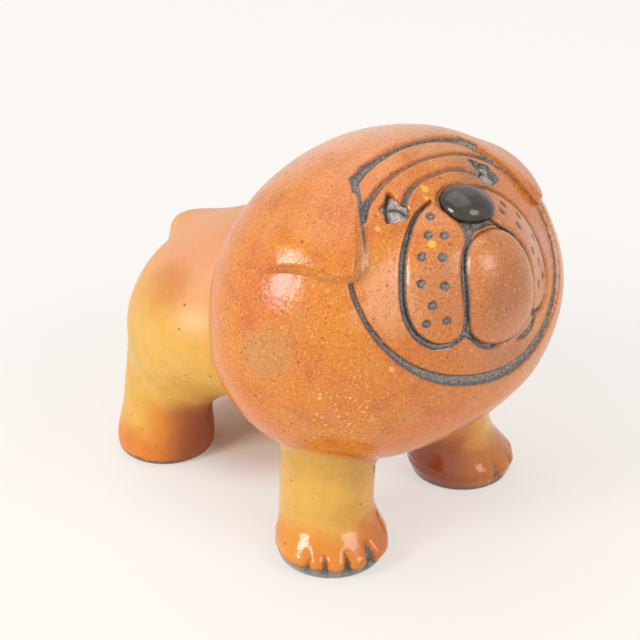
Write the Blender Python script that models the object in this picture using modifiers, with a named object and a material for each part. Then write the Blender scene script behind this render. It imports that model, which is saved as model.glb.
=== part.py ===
# Glazed stoneware bulldog figurine: two hollow castings with legs, tail and face relief luted on.
# Sizes are in millimetres and become metres where a mesh is made.
# +Z is up, the dog faces -Y, its right side is -X, and it stands on Z = 0.

import math

import bmesh
import bpy
from mathutils import Matrix, Vector

MM = 0.001

# Clay and joints
WALL = 4.0
JOINT_GAP = 0.3

# Head casting, a ball that is wider than it is tall or deep
HEAD_WIDTH = 72.0
HEAD_DEPTH = 54.8
HEAD_HEIGHT = 61.0
HEAD_CENTRE_HEIGHT = 45.2
NECK_OPENING = 24.0
FACE_TILT = 38.0

# Trunk casting, behind the head
TRUNK_WIDTH = 56.8
TRUNK_DEPTH = 49.6
TRUNK_HEIGHT = 33.6
TRUNK_CENTRE_HEIGHT = 31.3
TRUNK_BEHIND_HEAD = 33.8
TRUNK_SQUARENESS = 2.1
VENT_DIAMETER = 5.0

# Legs and paws
FRONT_STANCE = 36.8
FRONT_LEG_BEFORE_HEAD_CENTRE = 4.0
FRONT_LEG_DIAMETER = 17.4
FRONT_LEG_LEAN = 2.0
LEFT_PAW_SETBACK = 2.2
REAR_STANCE = 35.6
REAR_LEG_BEHIND_HEAD_CENTRE = 45.4
REAR_LEG_DIAMETER = 18.0
REAR_LEG_LEAN = 3.2
REAR_PAW_DIAMETER = 19.6
PAW_DIAMETER = 20.4
PAW_HEIGHT = 9.0
PAW_REACH = 1.5
SOLE_BEVEL = 1.2
TOE_GROOVES = 4
TOE_GROOVE_WIDTH = 2.0
TOE_GROOVE_HEIGHT = 6.0
TOE_SPREAD = 68.0
TOE_TURN = 36.0

# Ears, flaps that stand proud of the head along their front and lower edges
EAR_PROUD_AT_TIP = 1.9
EAR_PROUD_AT_ROOT = 0.5
EAR_TIP_BEFORE_HEAD_CENTRE = 16.0
EAR_TIP_ABOVE_HEAD_CENTRE = 15.6
EAR_ROOT_BEFORE_HEAD_CENTRE = 5.3
EAR_ROOT_ABOVE_HEAD_CENTRE = 27.4
EAR_BACK_BEFORE_HEAD_CENTRE = 3.6
EAR_EDGE_SWELL = 1.6

# Face relief, measured in the plane of the face from the middle of the head
JOWL_WIDTH = 14.4
JOWL_LENGTH = 25.6
JOWL_ACROSS = 9.0
JOWL_BELOW_CENTRE = 2.0
JOWL_TURN = 18.0
JOWL_PROUD = 1.2
CHIN_WIDTH = 16.0
CHIN_LENGTH = 19.6
CHIN_BELOW_CENTRE = 7.8
CHIN_PROUD = 2.6
NOSE_WIDTH = 10.4
NOSE_LENGTH = 8.2
NOSE_ABOVE_CENTRE = 7.4
NOSE_PROUD = 2.6
EYE_WIDTH = 4.6
EYE_LENGTH = 4.2
EYE_DEPTH = 1.4
EYE_PROUD = 0.5
EYE_ACROSS = 12.4
EYE_ABOVE_CENTRE = 11.4
FACE_RING_WIDTH = 47.2
FACE_RING_HEIGHT = 41.4
FACE_RING_OPEN = 8.0
BROW_WIDTHS = (29.0, 33.0, 16.0)
BROW_TOPS = (21.5, 17.2, 14.4)
BROW_DROPS = (3.0, 4.0, 1.6)
GROOVE_WIDTH = 1.4

# Tail stub
TAIL_WIDTH = 10.0
TAIL_HEIGHT = 8.0
TAIL_LENGTH = 5.2
TAIL_ABOVE_TRUNK_CENTRE = 7.6

# How finely round forms are cut into faces
BALL_SEGMENTS = 36
BALL_RINGS = 18
BEAD_SEGMENTS = 20
BEAD_RINGS = 10
LEG_SEGMENTS = 28
GROOVE_STEPS = 28
GROOVE_SIDES = 6

HEAD_HALF = Vector((HEAD_WIDTH, HEAD_DEPTH, HEAD_HEIGHT)) / 2
HEAD_CENTRE = Vector((0, 0, HEAD_CENTRE_HEIGHT))
TRUNK_HALF = Vector((TRUNK_WIDTH, TRUNK_DEPTH, TRUNK_HEIGHT)) / 2
TRUNK_CENTRE = Vector((0, TRUNK_BEHIND_HEAD, TRUNK_CENTRE_HEIGHT))
ROUND = 2.0

tilt = math.radians(FACE_TILT)
FACE_RIGHT = Vector((1, 0, 0))
FACE_UP = Vector((0, math.sin(tilt), math.cos(tilt)))
FACE_OUT = Vector((0, -math.cos(tilt), math.sin(tilt)))

SIDES = {"right": -1, "left": 1}


def start_scene():
    for old in list(bpy.data.objects):
        bpy.data.objects.remove(old, do_unlink=True)
    parts = bpy.data.collections.new("bulldog_figurine")
    cutters = bpy.data.collections.new("cutters")
    bpy.context.scene.collection.children.link(parts)
    bpy.context.scene.collection.children.link(cutters)
    return parts, cutters


def add_object(name, mesh_maker, collection):
    mesh = bpy.data.meshes.new(name)
    mesh_maker.transform(Matrix.Scale(MM, 4))
    mesh_maker.to_mesh(mesh)
    mesh_maker.free()
    made = bpy.data.objects.new(name, mesh)
    collection.objects.link(made)
    return made


def part(name, mesh_maker, glaze):
    made = add_object(name, mesh_maker, PARTS)
    made.data.materials.append(glaze_for(name, *glaze))
    made.parent = STAND
    return made


def cutter(name, mesh_maker):
    made = add_object(name, mesh_maker, CUTTERS)
    made.hide_render = True
    made.display_type = "WIRE"
    made.parent = STAND
    return made


def glaze_for(name, colour, roughness):
    material = bpy.data.materials.new(name + "_glaze")
    material.use_nodes = True
    shader = material.node_tree.nodes["Principled BSDF"]
    shader.inputs["Base Color"].default_value = (*colour, 1)
    shader.inputs["Roughness"].default_value = roughness
    shader.inputs["Metallic"].default_value = 0
    material.diffuse_color = (*colour, 1)
    return material


def boolean(target, tool, operation="DIFFERENCE"):
    step = target.modifiers.new(operation.lower() + "_" + tool.name, "BOOLEAN")
    step.operation = operation
    step.solver = "EXACT"
    step.object = tool


def hollow(target):
    shell = target.modifiers.new("wall", "SOLIDIFY")
    shell.thickness = WALL * MM
    shell.offset = -1
    shell.use_even_offset = True


def blob(half, centre, power, segments, rings, mouth=0.0):
    # A ball, squarer as the power rises. Its poles lie on Y and the mouth is the diameter left open at the back.
    form = bmesh.new()
    stop = math.pi
    if mouth:
        stop -= math.asin(mouth / (2 * half.x))
    loops = []
    for ring in range(1, rings + (1 if mouth else 0)):
        polar = stop * ring / rings
        loop = []
        for step in range(segments):
            turn = 2 * math.pi * step / segments
            way = Vector((math.sin(polar) * math.cos(turn), -math.cos(polar), math.sin(polar) * math.sin(turn)))
            reach = sum(abs(value) ** power for value in way) ** (-1 / power)
            loop.append(form.verts.new(centre + way * reach * half))
        loops.append(loop)
    skin(form, loops)
    fan(form, loops[0], centre - Vector((0, half.y, 0)))
    if not mouth:
        fan(form, loops[-1], centre + Vector((0, half.y, 0)))
    face_outwards(form)
    return form


def skin(form, loops):
    for lower, upper in zip(loops, loops[1:]):
        for step in range(len(lower)):
            after = (step + 1) % len(lower)
            form.faces.new((lower[step], lower[after], upper[after], upper[step]))


def fan(form, loop, tip):
    point = form.verts.new(tip)
    for step in range(len(loop)):
        form.faces.new((loop[step], loop[(step + 1) % len(loop)], point))


def face_outwards(form):
    bmesh.ops.recalc_face_normals(form, faces=form.faces)


def column(loops):
    # A closed solid through rings of points, with flat ends.
    form = bmesh.new()
    rings = [[form.verts.new(point) for point in loop] for loop in loops]
    skin(form, rings)
    form.faces.new(rings[0])
    form.faces.new(rings[-1])
    face_outwards(form)
    return form


def circle(centre, radius, height, segments):
    turns = [2 * math.pi * step / segments for step in range(segments)]
    return [centre + Vector((radius * math.cos(turn), radius * math.sin(turn), height)) for turn in turns]


def on_head(across, up):
    # Where a line along the face's axis meets the head, measured from the head's centre.
    start = FACE_RIGHT * across + FACE_UP * up
    inverse = Vector(1 / value for value in HEAD_HALF)
    flat = start * inverse
    lift = FACE_OUT * inverse
    middle = flat.dot(lift)
    root = math.sqrt(max(0, middle * middle - lift.dot(lift) * (flat.dot(flat) - 1)))
    return start + FACE_OUT * ((root - middle) / lift.dot(lift))


def head_normal(point):
    return Vector(value / half ** 2 for value, half in zip(point, HEAD_HALF)).normalized()


def frame_on_head(across, up):
    point = on_head(across, up)
    out = head_normal(point)
    right = (FACE_RIGHT - out * FACE_RIGHT.dot(out)).normalized()
    frame = Matrix((right, out.cross(right), out)).transposed().to_4x4()
    frame.translation = HEAD_CENTRE + point
    return frame


def bead(width, length, depth, sunk, across, up, gap=0.0):
    half = Vector((width / 2 + gap, length / 2 + gap, depth + gap))
    form = blob(half, Vector((0, 0, -sunk)), ROUND, BEAD_SEGMENTS, BEAD_RINGS)
    form.transform(frame_on_head(across, up))
    return form


def head_form(gap=0.0, mouth=0.0, forward=0.0):
    grown = HEAD_HALF + Vector((gap, gap, gap))
    return blob(grown, HEAD_CENTRE - Vector((0, forward, 0)), ROUND, BALL_SEGMENTS, BALL_RINGS, mouth)


def trunk_form(gap=0.0):
    grown = TRUNK_HALF + Vector((gap, gap, gap))
    return blob(grown, TRUNK_CENTRE, TRUNK_SQUARENESS, BALL_SEGMENTS, BALL_RINGS)


def groove(path):
    # A round-bottomed tool line along points on the head.
    loops = []
    for step, point in enumerate(path):
        ahead = path[min(step + 1, len(path) - 1)] - path[max(step - 1, 0)]
        out = head_normal(point)
        aside = ahead.cross(out).normalized()
        turns = [2 * math.pi * side / GROOVE_SIDES for side in range(GROOVE_SIDES)]
        loops.append([
            HEAD_CENTRE + point + (out * math.sin(turn) + aside * math.cos(turn)) * GROOVE_WIDTH / 2
            for turn in turns
        ])
    return column(loops)


def face_ring():
    start = math.radians(FACE_RING_OPEN)
    sweep = math.pi - 2 * start
    turns = [start + sweep * step / GROOVE_STEPS for step in range(GROOVE_STEPS + 1)]
    return groove([
        on_head(FACE_RING_WIDTH / 2 * math.cos(turn), -FACE_RING_HEIGHT / 2 * math.sin(turn))
        for turn in turns
    ])


def brow(width, top, drop):
    steps = [2 * step / GROOVE_STEPS - 1 for step in range(GROOVE_STEPS + 1)]
    return groove([on_head(width / 2 * step, top - drop * step ** 2) for step in steps])


def make_head():
    head = part("head_shell", head_form(mouth=NECK_OPENING), HEAD_GLAZE)
    hollow(head)
    boolean(head, cutter("face_ring_groove", face_ring()))
    for count, sizes in enumerate(zip(BROW_WIDTHS, BROW_TOPS, BROW_DROPS)):
        boolean(head, cutter(f"brow_groove_{count + 1}", brow(*sizes)))
    for side in SIDES:
        boolean(head, EYE_SEATS[side])
    return head


def make_trunk():
    trunk = part("trunk_shell", trunk_form(), TRUNK_GLAZE)
    hollow(trunk)
    boolean(trunk, HEAD_SEAT)
    below = TRUNK_CENTRE - Vector((0, 0, TRUNK_HALF.z + WALL))
    vent = [circle(below, VENT_DIAMETER / 2, height, BEAD_SEGMENTS) for height in (0, 3 * WALL)]
    boolean(trunk, cutter("belly_vent", column(vent)))


def leg_form(foot, paw, shaft, top, lean, reach):
    # The paw swells out of the leg, and the leg leans towards the body as it rises. Paw and shaft are radii.
    levels = [
        (0, paw - SOLE_BEVEL, 1),
        (SOLE_BEVEL, paw, 1),
        (PAW_HEIGHT / 2, paw, 1),
        (PAW_HEIGHT * 0.85, (paw + shaft) / 2, 0.5),
        (PAW_HEIGHT * 1.2, shaft, 0),
        (top, shaft, 0),
    ]
    loops = []
    for height, radius, share in levels:
        rise = max(0, height - PAW_HEIGHT) / (top - PAW_HEIGHT)
        centre = foot - Vector((0, reach * share, 0)) + lean * rise
        loops.append(circle(centre, radius, height, LEG_SEGMENTS))
    return column(loops)


def toe_grooves(foot, sign):
    # The toes point forwards and outwards.
    ahead = -math.pi / 2 + sign * math.radians(TOE_TURN)
    middle = foot - Vector((0, PAW_REACH, 0))
    gap = math.radians(TOE_SPREAD) / (TOE_GROOVES - 1)
    notches = bmesh.new()
    for toe in range(TOE_GROOVES):
        turn = ahead + gap * (toe - (TOE_GROOVES - 1) / 2)
        edge = middle + Vector((math.cos(turn), math.sin(turn), 0)) * PAW_DIAMETER / 2
        base = circle(edge, TOE_GROOVE_WIDTH / 2, -SOLE_BEVEL, GROOVE_SIDES)
        tip = circle(edge, TOE_GROOVE_WIDTH / 8, TOE_GROOVE_HEIGHT, GROOVE_SIDES)
        rings = [[notches.verts.new(point) for point in ring] for ring in (base, tip)]
        skin(notches, rings)
        for ring in rings:
            notches.faces.new(ring)
    face_outwards(notches)
    return notches


def make_legs():
    # Each leg's top ends inside the head or trunk, whose seat trims it.
    front_top = HEAD_CENTRE_HEIGHT - HEAD_HALF.z / 3
    for side, sign in SIDES.items():
        foot = Vector((sign * FRONT_STANCE / 2, -FRONT_LEG_BEFORE_HEAD_CENTRE, 0))
        if side == "left":
            foot.y += LEFT_PAW_SETBACK
        lean = Vector((-sign, 1, 0)) * FRONT_LEG_LEAN
        form = leg_form(foot, PAW_DIAMETER / 2, FRONT_LEG_DIAMETER / 2, front_top, lean, PAW_REACH)
        leg = part(f"front_{side}_leg", form, LEG_GLAZE)
        boolean(leg, HEAD_SEAT)
        boolean(leg, TRUNK_SEAT)
        boolean(leg, cutter(f"{side}_toe_grooves", toe_grooves(foot, sign)))
        foot = Vector((sign * REAR_STANCE / 2, REAR_LEG_BEHIND_HEAD_CENTRE, 0))
        lean = Vector((-sign, -1, 0)) * REAR_LEG_LEAN
        form = leg_form(foot, REAR_PAW_DIAMETER / 2, REAR_LEG_DIAMETER / 2, TRUNK_CENTRE_HEIGHT, lean, 0)
        leg = part(f"rear_{side}_leg", form, LEG_GLAZE)
        boolean(leg, TRUNK_SEAT)


def make_ears():
    # Seen from the side: down the front edge from the root to the tip, then back along the lower edge.
    root = Vector((-EAR_ROOT_BEFORE_HEAD_CENTRE, EAR_ROOT_ABOVE_HEAD_CENTRE))
    tip = Vector((-EAR_TIP_BEFORE_HEAD_CENTRE, EAR_TIP_ABOVE_HEAD_CENTRE))
    back = Vector((-EAR_BACK_BEFORE_HEAD_CENTRE, EAR_TIP_ABOVE_HEAD_CENTRE))
    outline = []
    for start, end in ((root, tip), (tip, back)):
        swell = Vector((end.y - start.y, start.x - end.x)).normalized() * EAR_EDGE_SWELL
        for step in range(8):
            share = step / 8
            outline.append(start.lerp(end, share) + swell * math.sin(math.pi * share))
    outline.append(back)
    outline.append(Vector((back.x, root.y)))
    for side, sign in SIDES.items():
        ear = part(f"{side}_ear", head_form(EAR_PROUD_AT_ROOT, forward=EAR_PROUD_AT_TIP), HEAD_GLAZE)
        loops = [
            [HEAD_CENTRE + Vector((sign * out, point.x, point.y)) for point in outline]
            for out in (HEAD_HALF.x / 8, HEAD_HALF.x * 1.2)
        ]
        boolean(ear, cutter(f"{side}_ear_outline", column(loops)), "INTERSECT")
        boolean(ear, HEAD_SEAT)


def make_jowls():
    turn = math.radians(JOWL_TURN)
    for side, sign in SIDES.items():
        jowl = part(f"{side}_jowl", head_form(JOINT_GAP + JOWL_PROUD), HEAD_GLAZE)
        loops = []
        for out in (0, HEAD_WIDTH):
            loop = []
            for point in circle(Vector(), 1, 0, BALL_SEGMENTS):
                across = point.x * JOWL_WIDTH / 2
                up = point.y * JOWL_LENGTH / 2
                along = JOWL_ACROSS + across * math.cos(turn) - up * math.sin(turn)
                above = across * math.sin(turn) + up * math.cos(turn) - JOWL_BELOW_CENTRE
                loop.append(HEAD_CENTRE + FACE_RIGHT * sign * along + FACE_UP * above + FACE_OUT * out)
            loops.append(loop)
        boolean(jowl, cutter(f"{side}_jowl_outline", column(loops)), "INTERSECT")
        boolean(jowl, HEAD_SEAT)
        boolean(jowl, CHIN_SEAT)
        boolean(jowl, NOSE_SEAT)
        boolean(jowl, EYE_SEATS[side])


def make_chin_and_nose():
    chin = part("chin_boss", bead(*CHIN), HEAD_GLAZE)
    boolean(chin, HEAD_SEAT)
    boolean(chin, NOSE_SEAT)
    nose = part("nose", bead(*NOSE), NOSE_GLAZE)
    boolean(nose, HEAD_SEAT)


def make_eyes():
    for side, sign in SIDES.items():
        part(f"{side}_eye", bead(*eye_at(sign)), EYE_GLAZE)


def eye_at(sign):
    return EYE_WIDTH, EYE_LENGTH, EYE_DEPTH, EYE_DEPTH - EYE_PROUD, sign * EYE_ACROSS, EYE_ABOVE_CENTRE


def make_tail():
    rise = (TAIL_ABOVE_TRUNK_CENTRE / TRUNK_HALF.z) ** TRUNK_SQUARENESS
    behind = TRUNK_HALF.y * max(0, 1 - rise) ** (1 / TRUNK_SQUARENESS)
    half = Vector((TAIL_WIDTH / 2, TAIL_LENGTH, TAIL_HEIGHT / 2))
    root = TRUNK_CENTRE + Vector((0, behind, TAIL_ABOVE_TRUNK_CENTRE))
    tail = part("tail", blob(half, root, ROUND, BEAD_SEGMENTS, BEAD_RINGS), TRUNK_GLAZE)
    boolean(tail, TRUNK_SEAT)


def stand_at_middle():
    # The origin is the middle of the whole figure's footprint.
    bpy.context.view_layer.update()
    graph = bpy.context.evaluated_depsgraph_get()
    deep = []
    for made in PARTS.objects:
        if made.type == "MESH":
            done = made.evaluated_get(graph)
            deep += [(done.matrix_world @ vertex.co).y for vertex in done.data.vertices]
    STAND.location.y = -(min(deep) + max(deep)) / 2


HEAD_GLAZE = ((0.66, 0.27, 0.07), 0.32)
TRUNK_GLAZE = ((0.68, 0.29, 0.07), 0.32)
LEG_GLAZE = ((0.58, 0.25, 0.06), 0.3)
NOSE_GLAZE = ((0.02, 0.02, 0.022), 0.22)
EYE_GLAZE = ((0.05, 0.045, 0.04), 0.4)

CHIN = (CHIN_WIDTH, CHIN_LENGTH, CHIN_PROUD, 0, 0, -CHIN_BELOW_CENTRE)
NOSE = (NOSE_WIDTH, NOSE_LENGTH, NOSE_PROUD, 0, 0, NOSE_ABOVE_CENTRE)

PARTS, CUTTERS = start_scene()
STAND = bpy.data.objects.new("stand_point", None)
PARTS.objects.link(STAND)

HEAD_SEAT = cutter("head_seat", head_form(JOINT_GAP))
TRUNK_SEAT = cutter("trunk_seat", trunk_form(JOINT_GAP))
CHIN_SEAT = cutter("chin_seat", bead(*CHIN, gap=JOINT_GAP))
NOSE_SEAT = cutter("nose_seat", bead(*NOSE, gap=JOINT_GAP))
EYE_SEATS = {side: cutter(f"{side}_eye_seat", bead(*eye_at(sign), gap=JOINT_GAP)) for side, sign in SIDES.items()}

make_head()
make_trunk()
make_legs()
make_ears()
make_jowls()
make_chin_and_nose()
make_eyes()
make_tail()
stand_at_middle()
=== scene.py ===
import math
import bpy
import numpy as np
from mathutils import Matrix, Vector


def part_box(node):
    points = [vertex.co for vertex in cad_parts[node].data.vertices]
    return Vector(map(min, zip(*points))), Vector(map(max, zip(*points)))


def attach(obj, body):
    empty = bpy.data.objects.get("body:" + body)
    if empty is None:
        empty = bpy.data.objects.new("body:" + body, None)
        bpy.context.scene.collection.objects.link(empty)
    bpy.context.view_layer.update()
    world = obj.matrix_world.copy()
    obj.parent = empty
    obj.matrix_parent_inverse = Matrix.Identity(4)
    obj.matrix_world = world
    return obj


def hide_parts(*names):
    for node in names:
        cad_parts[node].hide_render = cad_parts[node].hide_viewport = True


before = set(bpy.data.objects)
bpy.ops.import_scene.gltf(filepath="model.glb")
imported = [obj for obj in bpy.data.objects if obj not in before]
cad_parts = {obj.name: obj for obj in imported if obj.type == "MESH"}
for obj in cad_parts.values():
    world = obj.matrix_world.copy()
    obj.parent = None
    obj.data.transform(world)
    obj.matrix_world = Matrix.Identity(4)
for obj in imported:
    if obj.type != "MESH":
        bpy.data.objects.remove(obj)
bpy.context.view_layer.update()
mm = 0.001  # shapes are worked out in mm, meshes are in metres
sharpEdge = 50  # degrees
scene = bpy.context.scene
print("frame loaded:", len(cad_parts), "nodes")


# small tools for shapes

def span(node):  # corners of a node, in mm
    low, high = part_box(node)
    return np.array(low) / mm, np.array(high) / mm


def ease(x):  # 0 to 1 with soft ends
    x = np.clip(x, 0, 1)
    return x * x * (3 - 2 * x)


def unit(vectors):
    return vectors / np.linalg.norm(vectors, axis=-1, keepdims=True)


def throughPoints(points, steps=12, closed=False):  # smooth line through a few points
    points = np.array(points, float)
    if closed:
        run = np.vstack([points[-1:], points, points[:2]])
    else:
        run = np.vstack([2 * points[0] - points[1], points, 2 * points[-1] - points[-2]])
    t = (np.arange(steps) / steps)[:, None]
    line = []
    for a, b, c, d in zip(run, run[1:], run[2:], run[3:]):
        line.append(0.5 * (2 * b + (c - a) * t + (2 * a - 5 * b + 4 * c - d) * t**2
                           + (3 * b - a - 3 * c + d) * t**3))
    return np.vstack(line if closed else line + [points[-1:]])


def backToStart(line):
    return np.vstack([line, line[:1]])


def evenly(line, count, closed=False):  # the same line with evenly spaced points
    if closed:
        line = backToStart(line)
    steps = np.linalg.norm(np.diff(line, axis=0), axis=1)
    run = np.concatenate([[0], np.cumsum(steps)])
    stops = np.linspace(0, run[-1], count, endpoint=not closed)
    return np.stack([np.interp(stops, run, axis) for axis in line.T], -1)


def nearLine(points, line):  # distance to a line, and how far along it, 0 to 1
    best = np.full(len(points), 1e6)
    along = np.zeros(len(points))
    lengths = np.linalg.norm(np.diff(line, axis=0), axis=1)
    done = np.concatenate([[0], np.cumsum(lengths)]) / lengths.sum()
    for start, end, begin, share in zip(line, line[1:], done, lengths / lengths.sum()):
        step = end - start
        t = np.clip((points - start) @ step / (step @ step), 0, 1)
        gap = np.linalg.norm(points - start - t[:, None] * step, axis=1)
        closer = gap < best
        best[closer] = gap[closer]
        along[closer] = begin + t[closer] * share
    return best, along


def insideOutline(spots, outline):
    inside = np.zeros(len(spots), bool)
    for (ax, ay), (bx, by) in zip(outline, np.roll(outline, -1, axis=0)):
        crosses = (ay > spots[:, 1]) != (by > spots[:, 1])
        inside ^= crosses & (spots[:, 0] < (bx - ax) * (spots[:, 1] - ay) / (by - ay + 1e-9) + ax)
    return inside


def waves(points, length, seed):  # soft unevenness between -1 and 1
    draw = np.random.default_rng(seed)
    total = np.zeros(len(points))
    for _ in range(9):
        way = unit(draw.normal(size=3))
        stretch = length * draw.uniform(0.7, 1.4)
        total += np.sin(points @ way * math.tau / stretch + draw.uniform(0, math.tau))
    return total / 4


def fullTurn(count):  # even steps round a circle
    return np.linspace(0, math.tau, count, endpoint=False)


def onSide(points, side):  # spots written for the dog's left, or mirrored to its right
    return [(side * across, up) for across, up in points]


def bothSides(half):  # a line that starts on the middle of the face, run out to both sides
    return onSide(half[:0:-1], -1) + list(half)


def makePiece(name, node, rings, poles, oxide=None):
    rows, around = rings.shape[:2]
    points = np.vstack([rings.reshape(-1, 3), poles]) * mm
    index = np.arange(rows * around).reshape(rows, around)
    beside = np.roll(index, -1, axis=1)
    first, last = np.full(around, rows * around), np.full(around, rows * around + 1)
    quads = np.stack([index[:-1], beside[:-1], beside[1:], index[1:]], -1).reshape(-1, 4)
    firstEnd = np.stack([beside[0], index[0], first], -1)
    lastEnd = np.stack([index[-1], beside[-1], last], -1)
    ends = np.vstack([firstEnd, lastEnd])
    corners = points[quads]
    volume = np.einsum("ij,ij->", corners[:, 0], np.cross(corners[:, 1], corners[:, 2]))
    volume += np.einsum("ij,ij->", corners[:, 0], np.cross(corners[:, 2], corners[:, 3]))
    if volume < 0:  # faces look out
        quads, ends = quads[:, ::-1], ends[:, ::-1]
    mesh = bpy.data.meshes.new(name)
    mesh.from_pydata(points.tolist(), [], quads.tolist() + ends.tolist())
    marks = np.zeros(len(points))
    if oxide is not None:
        marks[:rows * around] = oxide.reshape(-1)
    mesh.attributes.new("oxide", "FLOAT", "POINT").data.foreach_set("value", marks.astype(np.float32))
    mesh.shade_smooth()
    mesh.set_sharp_from_angle(angle=math.radians(sharpEdge))
    piece = bpy.data.objects.new(name, mesh)
    scene.collection.objects.link(piece)
    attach(piece, "root")
    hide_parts(node)
    return piece


# camera, at the place that was fitted to the photograph

camera = {
    "place": (-214.34, -232.00, 202.90),
    "turn": -42.42,
    "down": 28.30,
    "lens": 105.12,
    "sensor": 36,
    "farthest": 10,  # metres
}

cameraData = bpy.data.cameras.new("photoCamera")
cameraData.lens = camera["lens"]
cameraData.sensor_width = camera["sensor"]
cameraData.clip_end = camera["farthest"]
cameraObject = bpy.data.objects.new("photoCamera", cameraData)
cameraObject.location = [value * mm for value in camera["place"]]
cameraObject.rotation_euler = (math.radians(90 - camera["down"]), 0, math.radians(camera["turn"]))
scene.collection.objects.link(cameraObject)
scene.camera = cameraObject
print("camera set")


# the ball of the head: face spots are (across, up) in mm, on a plate that leans back

head = {
    "depth": 54.8,
    "faceTilt": 38.0,
    "around": 512,
    "faceStep": 0.5,  # degrees between rings over the face
    "faceEnd": 54.0,
    "backStep": 1.8,
    "backEnd": 179.0,
    "wideningRings": 30,  # from the one step to the other
    "pastFace": 12,  # rings behind the face that still take its relief
    "poleSunk": 2.0,  # hidden below the muzzle
    "uneven": 0.16,
    "wave": 30.0,
    "fuller": [((0.43, -0.71, -0.44), 0.8, 0.6), ((-0.74, 0.23, -0.62), 0.9, 0.7),
               ((0.46, 0.21, 0.86), -0.25, 0.85), ((0.14, -0.65, -0.75), -0.95, 0.9)],  # way, mm, start
}

headLow, headHigh = span("head_shell")
headHalf = np.array([(headHigh[0] - headLow[0]) / 2, head["depth"] / 2, (headHigh[2] - headLow[2]) / 2])
headCentre = np.array([0, headLow[1] + headHalf[1], (headLow[2] + headHigh[2]) / 2])
lean = math.radians(head["faceTilt"])
faceAcross = np.array([1.0, 0, 0])
faceUp = np.array([0, math.sin(lean), math.cos(lean)])
faceOut = np.array([0, -math.cos(lean), math.sin(lean)])


def onHead(spots):  # the spot of the ball that lies over a spot of the face plate
    spots = np.asarray(spots, float)
    flat = spots[:, :1] * faceAcross + spots[:, 1:] * faceUp
    a = np.sum((faceOut / headHalf)**2)
    b = np.sum(flat * faceOut / headHalf**2, axis=1)
    c = np.sum((flat / headHalf)**2, axis=1) - 1
    out = (-b + np.sqrt(np.maximum(b * b - a * c, 0))) / a
    return headCentre + flat + out[:, None] * faceOut


def besideHead(sideSpots, side):  # the spot of the ball's flank at (back, up) from its centre
    sideSpots = np.asarray(sideSpots, float)
    out = np.sqrt(np.maximum(1 - np.sum((sideSpots / headHalf[1:])**2, axis=1), 0)) * headHalf[0]
    return headCentre + np.column_stack([side * out, sideSpots])


def faceSpots(points):
    return np.stack([(points - headCentre) @ faceAcross, (points - headCentre) @ faceUp], -1)


def headNormal(points):
    return unit((points - headCentre) / headHalf**2)


def headWaves(points):
    rise = head["uneven"] * waves(points, head["wave"], 3)
    for way, amount, start in head["fuller"]:
        towards = headNormal(points) @ unit(np.array(way))
        rise += amount * ease((towards - start) / (1 - start))
    return rise


def lifted(points, height):  # off the ball by a height, with the ball's own unevenness
    return points + headNormal(points) * (height + headWaves(points))[:, None]


# the face: a sunk plate inside the ring, with the muzzle swelling in its middle

plate = {
    "sunk": 0.9,
    "slope": 1.8,
    "ringHalf": (24.1, 21.2),
    "drop": (0.11, -0.08),  # how the left cheek hangs, for each mm below the nose
    "dropFrom": 2.0,
    "dropOver": 18.0,
    "browTop": [(0, 21.8), (5.2, 21.4), (10.0, 20.4), (13.3, 19.1)],
    "earFront": [(17.0, 13.4), (19.1, 8.5), (20.8, 5.0)],
    "muzzle": {"height": 4.1, "up": -4.0, "half": (17.5, 15.5), "power": 1.5},
}


def hung(spots, share=1.0):  # spots of an even face, with the left cheek hanging as it was pressed
    spots = np.array(spots, float)
    below = np.maximum(plate["dropFrom"] - spots[:, 1:], 0)
    return spots + share * below * ease(spots[:, :1] / plate["dropOver"] + 0.5) * np.array(plate["drop"])


ringTurn = np.radians(np.arange(170, 371, 10))
ringLine = hung(np.stack([np.cos(ringTurn), np.sin(ringTurn)], -1) * plate["ringHalf"], 0.5)
plateHalf = plate["browTop"] + plate["earFront"]
plateTop = throughPoints(plateHalf[::-1] + onSide(plateHalf[1:], -1), 6)
plateOutline = np.vstack([throughPoints(ringLine, 4), plateTop])


def outlineGap(points, outline):  # distance to an outline on the ball, below 0 inside
    gap = nearLine(points, onHead(backToStart(outline)))[0]
    return np.where(insideOutline(faceSpots(points), outline), -gap, gap)


def faceRelief(points):
    spots = faceSpots(points)
    gap = outlineGap(points, plateOutline)
    muzzle = plate["muzzle"]
    reach = (spots[:, 0] / muzzle["half"][0])**2 + ((spots[:, 1] - muzzle["up"]) / muzzle["half"][1])**2
    swell = muzzle["height"] * np.maximum(1 - reach, 0)**muzzle["power"]
    return swell - plate["sunk"] * ease(0.5 - gap / plate["slope"])


jowl = {
    "outline": [(4.4, 10.7), (8.6, 9.3), (12.6, 5.8), (15.0, 2.4), (16.7, -1.8), (17.3, -5.4), (16.7, -8.8),
                (15.2, -11.2), (12.9, -13.1), (10.2, -13.7), (8.3, -12.7), (7.7, -9.8), (7.5, -6.4),
                (6.9, -3.2), (5.6, -0.4), (3.6, 2.0), (2.9, 4.6), (3.4, 7.2), (3.8, 9.4)],
    "centre": (11.2, -2.5),
    "dots": [(6.8, 7.9), (9.3, 5.0), (7.0, 3.8), (12.0, 2.1), (9.2, 0.7), (13.8, -2.0), (10.5, -3.7),
             (13.0, -6.0), (14.4, -8.6), (11.1, -9.2)],
    "dotWidth": 1.5,
    "dotDepth": 0.6,
    "dotCut": {"flat": 1.25, "slope": 0.62},
    "dotInk": {-1: 0.47, 1: 0.36},
    "raise": 0.2,
    "inset": 0.35,
    "edge": 1.1,
    "edgeInk": 0.2,
    "offNose": 2.4,  # no oxide on the edge this near the nose
    "rows": 36,
    "deep": 1.4,
}
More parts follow.
